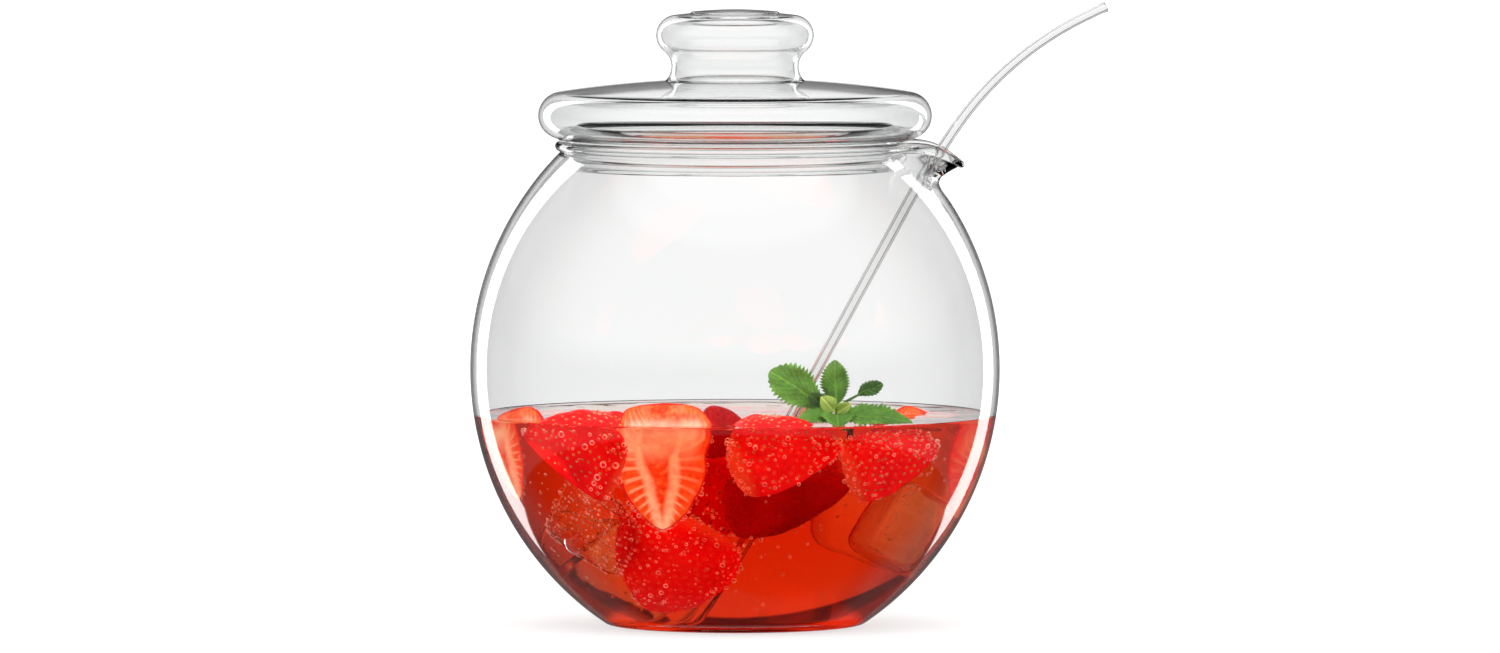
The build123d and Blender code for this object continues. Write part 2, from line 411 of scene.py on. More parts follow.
# The lip where it reaches furthest: its underside, its channel and its edge.
LIP_FROM = 188.0
LIP_UNDER = [(93.95, 188.0), (91.1, 192.0), (89.9, 194.6), (90.6, 197.2), (94.0, 199.7), (98.2, 202.0)]
LIP_CHANNEL = [(98.6, 204.7), (93.2, 202.4), (89.0, 199.9), (86.2, 197.4), (85.9, 194.4),
               (87.5, 192.0), (90.33, 188.0)]
LIP_BEAD = (99.4, 203.2)
LIP_BEAD_SIZE = 0.62
# Middle of the rim's bead, and the margin that takes in its neck.
BEAD_MIDDLE = (RIM - BEAD - 0.4, RIM_TOP - BEAD)
BEAD_MARGIN = 0.75
LIP_TILT = radians(-62)
# Half width in degrees of the lip's pull outwards and down, and how square its profile is.
LIP_REACH = (12.6, 2.4)
LIP_DROP = (8.4, 2.6)


def lip_outline(outline):
    """The outline where the lip reaches furthest, point for point."""
    pts = np.array(outline)
    out = pts.copy()
    bead = [i for i in range(len(pts)) if dist(pts[i], BEAD_MIDDLE) < BEAD + BEAD_MARGIN]
    first, last = bead[0], bead[-1]
    for i in range(first, last + 1):
        d = (pts[i] - np.array(BEAD_MIDDLE)) * LIP_BEAD_SIZE
        out[i] = (LIP_BEAD[0] + d[0] * cos(LIP_TILT) - d[1] * sin(LIP_TILT),
                  LIP_BEAD[1] + d[0] * sin(LIP_TILT) + d[1] * cos(LIP_TILT))
    for run, curve, low, high in ((range(0, first), LIP_UNDER, 0.02, 0.97),
                                  (range(last + 1, len(pts)), LIP_CHANNEL, 0.03, 0.98)):
        run = [i for i in run if pts[i, 1] > LIP_FROM]
        length = lengths(pts[run])
        out[run] = spline(curve, low + (high - low) * length / length[-1])
    return out


lip = lip_outline(bowl_outline)


def bowl_shape(ring, turn):
    """The bowl's outline at an azimuth, with the lip pulled out towards +X."""
    away = abs(degrees(atan2(sin(turn), cos(turn))))
    reach, drop = (exp(-((away / width) ** power)) for width, power in (LIP_REACH, LIP_DROP))
    target = lip[1:-1]
    out = ring.copy()
    out[:, 0] += (target[:, 0] - ring[:, 0]) * reach
    out[:, 1] += (target[:, 1] - ring[:, 1]) * drop
    return out


make("bowl_glass_body", *revolved(bowl_outline, 360, bowl_shape), "bowl", [bowl_glass],
     replaces=["bowl"], slot="bowl_glass")

# ---- lid and knob

LID_WALL = 2.2
BULGE = (76.2, 224.7)
BULGE_RADIUS = 10.5
DOME_TOP = 240.9
COLLAR = 71.2
COLLAR_BEAD = 2.5
COLLAR_END = 202.4
COLLAR_ROOT = COLLAR_END + 3.2
HOLE = 24.0


def cap_radius(centre, radius, top):
    rise = top - centre[1]
    return (centre[0] ** 2 + rise**2 - radius**2) / (2 * (rise - radius))


def lid_side(inset):
    """The lid's bulge from the collar's top, and its dome up to the hole, at an inset."""
    r = cap_radius(BULGE, BULGE_RADIUS, DOME_TOP)
    centre = (0, DOME_TOP - r)
    collar, bulge = COLLAR - inset, BULGE_RADIUS - inset
    start = degrees(atan2(-sqrt(bulge**2 - (BULGE[0] - collar) ** 2), collar - BULGE[0]))
    end = degrees(atan2(BULGE[1] - centre[1], BULGE[0]))
    stop = degrees(acos(HOLE / (r - inset)))
    return arc(BULGE, bulge, start, end, 44), arc(centre, r - inset, end, stop, 26)


bulge_out, dome_out = lid_side(0)
bulge_in, dome_in = lid_side(LID_WALL)
open_angle = degrees(acos((LID_WALL / 2) / COLLAR_BEAD))
collar_mid = COLLAR - LID_WALL / 2
lid_outline = joined(bulge_out, dome_out, dome_in[::-1], bulge_in[::-1],
                     line(bulge_in[0], (COLLAR - LID_WALL, COLLAR_ROOT), 8),
                     arc((collar_mid, COLLAR_END), COLLAR_BEAD, 180 - open_angle, 360 + open_angle, 30),
                     line((COLLAR, COLLAR_ROOT), bulge_out[0], 8))


def softened(outline, reach, passes):
    """A closed outline with its creases melted, where neighbours are close together."""
    pts = np.array(outline)
    for _ in range(passes):
        before, after = np.roll(pts, 1, axis=0), np.roll(pts, -1, axis=0)
        near = (norm(before - pts, axis=1) < reach) & (norm(after - pts, axis=1) < reach)
        pts = np.where(near[:, None], pts * 0.5 + (before + after) * 0.25, pts)
    return [tuple(p) for p in pts]


make("lid_glass_shell", *revolved(softened(lid_outline, 3.0, 3)), "lid", [lid_glass],
     replaces=["lid"], slot="lid_glass")

KNOB = (25.7, 260.0)
KNOB_RADIUS = 9.0
KNOB_TOP = 270.6
KNOB_NECK = (28.0, 246.2)
KNOB_FOOT = 239.8
DISC = 19.4
DISC_RISE = 0.8
DISC_DOME = 1.0
DISC_DEPTH = 2.8
DISC_FLAT = DISC - 1.5
DISC_UNDER = 1.2
DISC_ROUND = 0.5


def knob_side(inset):
    """Neck, round edge and top of the knob at an inset."""
    rise, run = KNOB[1] - KNOB_NECK[1], KNOB_NECK[0] - KNOB[0]
    waist = (rise**2 + run**2 - KNOB_RADIUS**2) / (2 * (KNOB_RADIUS - run))
    centre = (KNOB_NECK[0] + waist, KNOB_NECK[1])
    low = degrees(asin((KNOB_FOOT - KNOB_NECK[1]) / (waist + inset)))
    top = cap_radius(KNOB, KNOB_RADIUS, KNOB_TOP)
    top_centre = (0, KNOB_TOP - top)
    meet = degrees(atan2(rise, KNOB[0] - centre[0]))
    end = degrees(atan2(KNOB[1] - top_centre[1], KNOB[0]))
    stop = degrees(acos(DISC / (top - inset)))
    return joined(arc(centre, waist + inset, 180 - low, meet, 24),
                  arc(KNOB, KNOB_RADIUS - inset, meet - 180, end, 40),
                  arc(top_centre, top - inset, end, stop, 8))


disc_top = KNOB_TOP + DISC_RISE
disc_edge = disc_top - DISC_DOME
disc_low = disc_top - DISC_DEPTH
knob_out, knob_in = knob_side(0), knob_side(LID_WALL)
knob_outline = joined([(0, disc_low)], line((0, disc_low), (DISC_FLAT, disc_low), 8),
                      arc((DISC - DISC_UNDER, disc_low + DISC_UNDER), DISC_UNDER, -90, -20, 5), knob_in[::-1],
                      line(knob_in[0], knob_out[0], 4), knob_out,
                      arc((DISC - DISC_ROUND, disc_edge - DISC_ROUND), DISC_ROUND, 10, 80, 5),
                      [(r, disc_edge + (disc_top - disc_edge) * (1 - (r / (DISC - DISC_ROUND)) ** 2))
                       for r in np.linspace(DISC_FLAT, 0, 12)])
make("lid_knob_glass", *revolved(knob_outline), "lid", [lid_glass], replaces=["lid_knob"], slot="lid_glass")

# ---- ladle

CORNERS = [(-15.5, 18.0), (82.0, 197.0), (118.2, 250.7), (163.4, 272.7)]
BENDS = (300.0, 145.0)
ROD = 2.4
BORE = 1.35
SEALED = 20.0
# TAPER_TO, FLARE_FROM and FLARE_TO run back from the open end.
TAPER, TAPER_FROM, TAPER_TO = 0.14, 215, 15
FLARE, FLARE_FROM, FLARE_TO = 0.16, 5, 1
CUP_RADIUS = 31.0
CUP_WALL = 2.0
CUP_HEIGHT = 41.0
CUP_RISE = 8.0
CUP_BEAD = 1.2
CUP_BEAD_ANGLE = 3
WELD = 0.8


def rounded(corners, bends):
    """Points along a path of straight runs whose corners are rounded off."""
    p = [np.array(c, float) for c in corners]
    out = [p[0]]
    for i, r in enumerate(bends, 1):
        a, b = unit(p[i - 1] - p[i]), unit(p[i + 1] - p[i])
        half = acos(np.clip(a @ b, -1, 1)) / 2
        cut = r / tan(half)
        start, end = p[i] + a * cut, p[i] + b * cut
        centre = p[i] + unit(a + b) * r / sin(half)
        for f in np.linspace(0, 1, 24):
            q = start + (end - start) * f - centre
            out.append(centre + unit(q) * r)
    return np.array(out + [p[-1]])


def along(path, s):
    """Position and direction at a length along a path, running on straight past its ends."""
    run = lengths(path)
    at = min(max(s, 0.01), run[-1] - 0.01)
    i = min(int(np.searchsorted(run, at, side="right")) - 1, len(path) - 2)
    d = (path[i + 1] - path[i]) / (run[i + 1] - run[i])
    return path[i] + d * (s - run[i]), d


rod_path = rounded(CORNERS, BENDS)
rod_length = float(norm(np.diff(rod_path, axis=0), axis=1).sum())


def rod_radius(s, base):
    """Radius along the handle: it narrows past the lip and flares at the open end."""
    taper = 1 - TAPER * float(smoothstep(TAPER_FROM, rod_length - TAPER_TO, s))
    flare = 1 + FLARE * float(smoothstep(rod_length - FLARE_FROM, rod_length - FLARE_TO, s))
    return base * taper * flare


def rod():
    stations = np.concatenate([np.arange(4, 180, 4), np.arange(180, rod_length - 8, 2.5),
                               np.arange(rod_length - 8, rod_length - 0.9, 0.7)])
    profile = [(-ROD, 0.0)] + [(-ROD * cos(t), ROD * sin(t)) for t in np.linspace(0.2, 1.57, 7)]
    profile += [(s, rod_radius(s, ROD)) for s in stations]
    wall = rod_radius(rod_length, ROD) - rod_radius(rod_length, BORE)
    rim = (rod_length - wall / 2, rod_radius(rod_length, BORE) + wall / 2)
    profile += [(rim[0] + wall / 2 * cos(t), rim[1] + wall / 2 * sin(t))
                for t in np.linspace(1.4, -1.4, 9)]
    inner = [s for s in stations[::-1] if s > SEALED + 2]
    profile += [(s, rod_radius(s, BORE)) for s in inner]
    profile += [(SEALED + BORE * (1 - sin(t)), BORE * cos(t)) for t in np.linspace(0.2, 1.3, 5)]
    profile += [(SEALED, 0.0)]
    v, sides = [], 32
    for s, r in profile:
        p, d = along(rod_path, s)
        for k in range(sides if r else 1):
            t = 2 * pi * k / sides
            v.append((p[0] + r * cos(t) * d[1], r * sin(t), p[1] - r * cos(t) * d[0]))
    return np.array(v), outward(v, tube_faces(len(profile) - 2, sides, 0, len(v) - 1, 1))


make("ladle_handle_glass", *rod(), "ladle", [ladle_glass], replaces=["ladle_handle"], slot="ladle_glass")

across, up = np.array(CORNERS[1]) - np.array(CORNERS[0])
across, up = across / hypot(across, up), up / hypot(across, up)
beside = CUP_RADIUS + ROD - WELD
beside_z = CUP_HEIGHT - beside * across
cup_x = CORNERS[0][0] + (beside_z - CORNERS[0][1]) * across / up - beside * up


def cup():
    rim = sqrt(CUP_RADIUS**2 - CUP_RISE**2)
    outer = degrees(asin(CUP_RISE / CUP_RADIUS)) - CUP_BEAD_ANGLE
    outline = joined(arc((0, 0), CUP_RADIUS, -90, outer, 50),
                     arc((rim - CUP_WALL / 2, CUP_RISE), CUP_BEAD, 0, 180, 12),
                     arc((0, 0), CUP_RADIUS - CUP_WALL, outer, -90, 50))
    outline[0] = (0.0, -CUP_RADIUS)
    outline[-1] = (0.0, CUP_WALL - CUP_RADIUS)
    v, faces = revolved(outline, 128)
    turned = np.column_stack([v[:, 0] * up + v[:, 2] * across + cup_x, v[:, 1],
                              -v[:, 0] * across + v[:, 2] * up + CUP_HEIGHT])
    return turned, faces


make("ladle_cup_glass", *cup(), "ladle", [cup_glass], replaces=["ladle_cup"], slot="ladle_glass")

# ---- fruit

BERRY_ALONG = (0, 0.03, 0.08, 0.18, 0.32, 0.48, 0.62, 0.74, 0.84, 0.91, 0.96, 0.99, 1)
BERRY_WIDTH = (0, 0.17, 0.33, 0.54, 0.75, 0.91, 0.985, 1, 0.96, 0.87, 0.72, 0.46, 0)
GOLDEN_ANGLE = pi * (3 - sqrt(5))
SEED_SPACING = 3.5
PIT_DEPTH = 0.5
PIT_RADIUS = 0.95
PIP_SIZE = (0.42, 0.72, 0.3)
PIP_SUNK = 0.32
PIP_SCALES = (0.85, 1.15)
LUMPS = 0.035
CUT_DOME = 0.5
# Points of a berry: rows from tip to top, steps over the skin, points across a cut face.
BERRY_ROWS = 104
BERRY_STEPS = 78
CUT_STEPS = 46


def berry_material():
    """Red skin, paler round each seed and towards the shoulders, with a painted glow in its own red that
    brightens it.
    """
    mat, n, put = material("strawberry_skin", Roughness=0.35, IOR=1.36, Specular_IOR_Level=0.12)
    patch = n.noise(45.0, 3.0)
    red = n.ramp(patch, [(0.3, (0.72, 0.002, 0.004)), (0.5, (0.92, 0.004, 0.006)),
                         (0.72, (0.97, 0.014, 0.008))])
    red = n.mix(n.span(n.attribute("pit"), 0.1, 0.9, 0.0, 0.5), red, (0.95, 0.1, 0.04, 1))
    red = n.mix(n.span(n.attribute("along"), 0.86, 1.0, 0.0, 0.35), red, (0.95, 0.22, 0.08, 1))
    put("Base Color", red)
    # Painted light: the skin glows in its own colour.
    put("Emission Color", red)
    put("Emission Strength", 0.42)
    put("Normal", n.bump(n.noise(900.0, 2.0), 0.25, 0.0002))
    return mat


def painted_shade_berry_material():
    """Painted shade: a darker copy of the red skin, for a berry that lies in the shade of the others, with a
    faint painted glow.
    """
    mat, n, put = material("strawberry_skin_painted_shade", Roughness=0.4, IOR=1.36, Specular_IOR_Level=0.1)
    red = n.ramp(n.noise(60.0, 3.0), [(0.3, (0.3, 0.001, 0.002)), (0.7, (0.55, 0.002, 0.003))])
    put("Base Color", red)
    # Painted light: a faint deep red glow.
    put("Emission Color", (0.5, 0.002, 0.003, 1))
    put("Emission Strength", 0.2)
    put("Normal", n.bump(n.noise(900.0, 2.0), 0.25, 0.0002))
    return mat


def cut_material():
    """Cut face: pale V of fibres, red core, pale streaks running out to a thin red rim, with a painted glow
    in its own colour.
    """
    mat, n, put = material("strawberry_flesh", Roughness=0.4, IOR=1.36, Specular_IOR_Level=0.12)
    vee, rim, along, streak = (n.attribute(a) for a in ("vee", "rim", "along", "streak"))
    grain = n.noise(420.0, 3.0)
    flesh = n.ramp(grain, [(0.3, (0.84, 0.06, 0.012)), (0.7, (0.95, 0.16, 0.03))])
    core = n.ramp(grain, [(0.35, (0.8, 0.035, 0.008)), (0.55, (0.93, 0.1, 0.02)), (0.75, (0.96, 0.26, 0.08))])
    inner = n.span(vee, -1.6, -0.6, 1.0, 0.0)
    colour = n.mix(inner, flesh, core)
    wander = n.times(n.math("SUBTRACT", n.noise(60.0, 2.0), 0.5), 3.4)
    wave = n.math("SINE", n.math("ADD", n.times(streak, 2 * pi * 16), wander))
    lines = n.times(n.span(wave, 0.1, 0.95), n.span(n.noise(75.0, 1.0), 0.35, 0.6, 0.35, 1.0))
    outer = n.times(n.span(vee, 0.2, 1.2), n.span(rim, 0.4, 3.5), n.span(along, 0.76, 0.9, 1.0, 0.25))
    colour = n.mix(n.times(lines, outer, 0.85), colour, (1.0, 0.58, 0.38, 1))
    fibres = n.span(grain, 0.2, 0.6, 0.6, 1.0)
    band = n.times(n.span(n.math("ABSOLUTE", vee), 0.5, 3.5, 1.0, 0.0), fibres)
    patches = n.span(n.noise(130.0, 2.0), 0.3, 0.65, 0.55, 1.0)
    crown = n.times(n.span(along, 0.5, 0.74), n.span(rim, 1.5, 7.0), patches)
    pale = n.times(n.larger(band, crown), n.span(along, 0.76, 0.9, 1.0, 0.08))
    colour = n.mix(pale, colour, (1.0, 0.66, 0.47, 1))
    colour = n.mix(n.span(rim, 0.35, 1.1, 1.0, 0.0), colour, (0.7, 0.012, 0.008, 1))
    put("Base Color", colour)
    # Painted light: the cut face glows in its own colour.
    put("Emission Color", colour)
    put("Emission Strength", 0.62)
    put("Normal", n.bump(n.math("ADD", grain, lines), 0.3, 0.0004))
    return mat


def seed_material():
    mat, n, put = material("strawberry_seed", Roughness=0.35, IOR=1.45, Specular_IOR_Level=0.2)
    gold = n.ramp(n.noise(180.0, 1.0), [(0.35, (0.76, 0.18, 0.05)), (0.65, (0.94, 0.52, 0.22))])
    put("Base Color", gold)
    return mat


skin_material, shade_material = berry_material(), painted_shade_berry_material()
flesh_material, pip_material = cut_material(), seed_material()
pip, pip_faces = icosphere(1)
skins = []


def berry(name, tip, top, skin, width, depth, seed, whole=False, shade=False, pips=None):
    """A strawberry, or a half of one with its cut face turned away from the skin's direction.

    The ring of each row runs over the skin and, on a half, back across the cut face.
    """
    tip, top = np.array(tip, float), np.array(top, float)
    height = norm(top - tip)
    axis = (top - tip) / height
    out = unit(np.array(skin) - axis * np.dot(skin, axis))
    across = np.cross(axis, out)
    along = 0.5 - 0.5 * np.cos(np.linspace(0, pi, BERRY_ROWS + 1))[1:-1]
    size = np.interp(along, BERRY_ALONG, BERRY_WIDTH)
    for _ in range(3):
        size[1:-1] = (size[:-2] + 2 * size[1:-1] + size[2:]) / 4
    sweep = 2 * pi if whole else pi
    theta = np.linspace(0, sweep, BERRY_STEPS + 1)
    if whole:
        theta = theta[:-1]
    inner = 0 if whole else CUT_STEPS

    rng = np.random.default_rng(seed)
    total = np.concatenate([[0], np.cumsum((size[1:] + size[:-1]) / 2 * np.diff(along))])
    ring_length = (width + 2 * depth) / 2 * sweep * 0.5
    count = int(total[-1] * height * ring_length * (1 if whole else 2) / SEED_SPACING**2)
    margin = 0 if whole else 0.1
    seed_along = np.interp((np.arange(count) + 0.5) / count * total[-1], total, along)
    seed_turn = (np.arange(count) * GOLDEN_ANGLE + rng.normal(0, 0.03, count)) % (2 * pi)
    seed_along = seed_along + rng.normal(0, 0.006, count)
    keep = (seed_turn < sweep - margin) & (seed_turn > margin)
    seed_along, seed_turn = np.clip(seed_along[keep], 0.02, 0.97), seed_turn[keep]

    def at(s, turn, r):
        return (tip + np.outer(s * height, axis) + np.outer(width / 2 * r * np.cos(turn), across)
                + np.outer(depth * r * np.sin(turn), out))

    seeds = at(seed_along, seed_turn, np.interp(seed_along, along, size))
    middle = tip + np.outer(seed_along * height * 0.9 + height * 0.05, axis)
    normals = seeds - middle
    normals /= norm(normals, axis=1)[:, None]

    ring = len(theta) + inner
    v, marks = [], {key: [] for key in ("pit", "vee", "rim", "streak", "along")}
    for s, r in zip(along, size):
        p = at(np.full(len(theta), s), theta, np.full(len(theta), r))
        mid = tip + axis * s * height
        p = mid + (p - mid) * (1 + LUMPS * smooth_noise(p, seed + 1, 17.0, 2))[:, None]
        gap = norm(p[:, None] - seeds[None], axis=2).min(axis=1)
        hole = np.exp(-((gap / PIT_RADIUS) ** 2))
        if not whole:
            hole *= np.clip(np.sin(theta) * 6, 0, 1)
        facing = p - mid
        facing /= norm(facing, axis=1)[:, None] + 1e-9
        p = p - facing * (hole * PIT_DEPTH)[:, None]
        x = np.cos(theta) * width / 2 * r
        if inner:
            first, last = p[0], p[-1]
            f = np.linspace(0, 1, inner + 2)[1:-1]
            back = last + np.outer(f, first - last)
            fx = np.interp(f, [0, 1], [x[-1], x[0]])
            dome = np.sin(np.pi * f)
            back -= np.outer(CUT_DOME * dome * (1 + smooth_noise(back, seed + 2, 9.0, 2)), out)
            p = np.vstack([p, back])
            x = np.concatenate([x, fx])
            hole = np.concatenate([hole, np.zeros(inner)])
        edge = width / 2 * r
        line_at = width * (0.008 + 0.255 * s ** 0.8) * (1 - 0.35 * float(smoothstep(0.7, 1, s)))
        lean = 1 - s / 0.55 if s < 0.55 else -2.2 * ((s - 0.55) / 0.45) ** 1.5
        v.append(p)
        marks["pit"].append(hole)
        marks["vee"].append(np.abs(x) - line_at)
        marks["rim"].append(np.minimum(edge - np.abs(x), (1 - s) * height * 0.8))
        marks["streak"].append(s + lean * (np.abs(x) - line_at) / height + np.where(x > 0, 3.0, 0.0))
        marks["along"].append(np.full(ring, s))
    v = np.vstack(v + [[tip - axis * 0.2], [tip + axis * height]])
    faces = outward(v, tube_faces(len(along), ring, len(v) - 2, len(v) - 1))
    cut = [1 if inner and k >= BERRY_STEPS else 0 for k in range(ring)]
    index = cut * (len(along) - 1) + [c for c in cut for _ in range(2)]
    values = {key: np.concatenate(part + [[0, key in ("streak", "along")]]) for key, part in marks.items()}
    for p, n in zip(seeds, normals):
        side = unit(np.cross(axis, n))
        base = len(v)
        shape = pip * np.array(PIP_SIZE) * rng.uniform(*PIP_SCALES)
        v = np.vstack([v, p - n * PIP_SUNK + shape @ np.array([side, np.cross(n, side), n])])
        faces += [(base + a, base + b, base + c) for a, b, c in pip_faces]
        index += [2] * len(pip_faces)
        for key in values:
            values[key] = np.concatenate([values[key], np.zeros(len(pip))])
    if not shade:
        grid = v[:len(along) * ring].reshape(len(along), ring, 3)
        skins.append((grid[3:-3:3, :len(theta):3].reshape(-1, 3), tip + axis * height * 0.5))
    # A berry with shade set gets the painted shade skin, on its seeds as well.
    skin_look, pip_look = (shade_material,) * 2 if shade else (skin_material, pips or pip_material)
    make("strawberry_" + name, v, faces, "bowl", [skin_look, flesh_material, pip_look], index, values)


berry("half_left", (-91, -60, 88), (-49, -60, 66), (0.48, -0.4, 0.78), 46, 27, 11)
berry("half_centre", (-30, -77, 49.5), (-31, -71, 102), (0.0, 1.0, 0.05), 42, 19, 12)
berry("half_middle", (43, -68, 85), (1, -72, 70), (-0.42, -0.45, 0.79), 44, 23, 13)
berry("half_right", (86, -58, 83), (46, -66, 68), (-0.3, -0.6, 0.74), 40, 20, 14)
berry("slice_left", (-86.5, -26, 61), (-97, -22, 96.5), (0.3, 1.0, 0.1), 24, 8, 15)
berry("small", (6, -44, 89), (-15, -47, 91), (0.0, -0.3, 1.0), 17, 9, 16, whole=True, shade=True)
berry("low", (-36, -45, 14), (-16, -50, 57), (0.0, -1.0, 0.1), 50, 16, 17, whole=True,
      pips=skin_material)
berry("shaded", (45, -44, 72), (-4, -42, 60), (0.0, -0.8, 0.6), 27, 13, 18, whole=True, shade=True)
berry("back_right", (72, 22, 60), (88, 18, 91), (0.35, 1.0, 0.0), 34, 14, 19)
berry("back_small", (8, 48, 80), (30, 50, 84), (0.0, -0.3, 1.0), 17, 9, 20, whole=True)
berry("back_left", (-80, 44, 60), (-83, 38, 88), (-0.85, 0.5, 0.1), 26, 10, 21)
berry("back_centre", (-14, 78, 58), (-6, 70, 89), (0.2, -0.9, 0.4), 34, 16, 22, whole=True)

# ---- ice

def ice_shape(side, round_by, seed, steps=14):
    """A cube with melted corners and a dished top, about the origin."""
    half = side / 2
    index, v, faces = {}, [], []

    def vertex(p):
        key = tuple(int(round(c * 1000)) for c in p)
        if key not in index:
            index[key] = len(v)
            v.append(p)
        return index[key]

    grid = np.linspace(-1, 1, steps + 1)
    for fixed in range(3):
        for sign in (-1, 1):
            for i in range(steps):
                for j in range(steps):
                    corner = []
                    for a, b in ((i, j), (i + 1, j), (i + 1, j + 1), (i, j + 1)):
                        p = [0.0, 0.0, 0.0]
                        p[fixed], p[(fixed + 1) % 3], p[(fixed + 2) % 3] = sign, grid[a], grid[b]
                        corner.append(vertex(tuple(p)))
                    faces.append(tuple(corner if sign > 0 else reversed(corner)))
    q = np.array(v) * half
    core = np.clip(q, -(half - round_by), half - round_by)
    rest = q - core
    length = norm(rest, axis=1)[:, None]
    p = core + np.where(length > 1e-9, rest / np.maximum(length, 1e-9), 0) * round_by
    p = p * (1 + LUMPS * smooth_noise(p, seed, side * 0.9, 2))[:, None]
    dish = np.exp(-(p[:, 0] ** 2 + p[:, 1] ** 2) / (half * 0.5) ** 2) * (p[:, 2] > 0)
    p[:, 2] -= dish * side * ICE_DISH
    return p, outward(p, faces)


def ice_material():
    mat, n, put = material("ice", Base_Color=(0.99, 0.99, 0.99, 1), IOR=1.31, Transmission_Weight=1.0)
    put("Roughness", n.span(n.noise(70.0, 3.0), 0.5, 0.8, 0.0, 0.12))
    put("Normal", n.bump(n.noise(55.0, 3.0), 0.4, 0.0012))
    return mat


ice = ice_material()
ICE_CLEARANCE = 0.2
ICE_ROUNDING = 0.2
ICE_DISH = 0.08
ICE_GAS_REACH = 0.36
ICE_GAS_RADII = (0.12, 0.5)
ICE_CUBES = [("left", (-58, -53, 50), 30, (0.5, 0.3, 0.4), 31, 260),
             ("right", (66, -26, 52), 34, (0.2, 0.5, 0.6), 32, 40),
             ("back", (40, 52, 74), 34, (0.9, 0.2, 0.2), 33, 30),
             ("back_left", (-28, 62, 46), 32, (0.3, 0.8, 0.1), 34, 20)]
cavities = []


def hollow(centre, radius, level=1):
    """A gas bubble: a ball with its normals turned in."""
    ball, triangles = icosphere(level)
    return ball * radius + np.asarray(centre), flipped(triangles)


def merged(parts):
    """One mesh from several (vertices, faces)."""
    v, faces, base = [], [], 0
    for pv, pf in parts:
        v.append(pv)
        faces += [tuple(i + base for i in f) for f in pf]
        base += len(pv)
    return np.vstack(v), faces


def turned(angles):
    a, b, c = angles
    return np.array(Matrix.Rotation(c, 3, "Z") @ Matrix.Rotation(b, 3, "Y") @ Matrix.Rotation(a, 3, "X"))


for name, centre, side, angles, seed, count in ICE_CUBES:
    rotation = turned(angles)
    shape, faces = ice_shape(side, side * ICE_ROUNDING, seed)
    larger = shape * (1 + 2 * ICE_CLEARANCE / side)
    parts = [(larger @ rotation.T + centre, faces)]
    rng = np.random.default_rng(seed)
    spots = rng.uniform(-ICE_GAS_REACH, ICE_GAS_REACH, (count, 3)) * side
    radii = rng.uniform(*ICE_GAS_RADII, count) * (1 + (rng.random(count) > 0.93))
    kept = []
    for spot, radius in zip(spots, radii):
        if all(dist(spot, other) > radius + r + 0.1 for other, r in kept):
            kept.append((spot, radius))
    parts += [hollow(spot @ rotation.T + centre, radius) for spot, radius in kept]
    make("ice_cube_" + name, *merged(parts), "bowl", [ice])
    cavities.append((np.array(centre), side, shape @ rotation.T + centre, flipped(faces)))

# ---- bubbles

SKIN_BUBBLES = 260
SKIN_RADII = (0.32, 0.45, 0.6, 0.8, 1.05)
SKIN_SHARES = (0.26, 0.28, 0.24, 0.15, 0.07)
FIRST_SKIN_SCALE = 1.35
# Middle, spread and number of the loose bubbles.
LOOSE_BUBBLES = [((-70, -58, 44), (18, 16, 18), 520), ((-30, -62, 46), (24, 14, 14), 160),
                 ((0, -40, 50), (30, 20, 18), 100), ((70, -50, 72), (18, 16, 12), 60)]
ICE_BUBBLES = 420
ICE_KEEP_OUT = 0.82
LOOSE_RADII = (0.25, 0.75)
ICE_RADII = (0.3, 0.62)


def bubble_spots():
    """Places and radii of gas bubbles: on the berries, loose in the punch and on the left ice cube."""
    rng = np.random.default_rng(40)
    found = []

    def clear_of_all(p, r, cubes=cavities):
        reach = hypot(hypot(p[0], p[1]) - BODY_X, p[2] - BODY_Z)
        if reach > BODY_ARC - WALL - r - 0.7 or not FLOOR + 12 < p[2] < LEVEL - r - 0.9:
            return False
        if dist(p, (cup_x, 0, CUP_HEIGHT)) < CUP_RADIUS + r + 1.5:
            return False
        low = np.array([CORNERS[0][0], 0, CORNERS[0][1]])
        way = np.array([across, 0, up])
        d = np.asarray(p) - low
        if norm(d - way * (d @ way)) < ROD + r + 0.4:
            return False
        if any(dist(p, c[0]) < c[1] * ICE_KEEP_OUT + r for c in cubes):
            return False
        return all(dist(p, q) > r + s + 0.08 for q, s in found)

    for which, (points, centre) in enumerate(skins):
        for p in points[rng.permutation(len(points))[:SKIN_BUBBLES]]:
            r = float(rng.choice(SKIN_RADII, p=SKIN_SHARES))
            r *= FIRST_SKIN_SCALE if which == 0 else 1.0
            q = p + unit(p - centre) * r * 0.8
            if clear_of_all(q, r):
                found.append((q, r))
    for centre, spread, count in LOOSE_BUBBLES:
        for _ in range(count):
            p = np.array(centre) + rng.normal(0, 1, 3) * np.array(spread) * 0.6
            r = rng.uniform(*LOOSE_RADII)
            if clear_of_all(p, r):
                found.append((p, r))
    centre, _, surface, _ = cavities[0]
    for p in surface[rng.permutation(len(surface))[:ICE_BUBBLES]]:
        r = rng.uniform(*ICE_RADII)
        q = p + unit(p - centre) * (1.9 * r + 0.3)
        if clear_of_all(q, r, cavities[1:]):
            found.append((q, r))
    return found


bubbles = [hollow(p, r, 2 if r > 0.6 else 1) for p, r in bubble_spots()]

# ---- mint

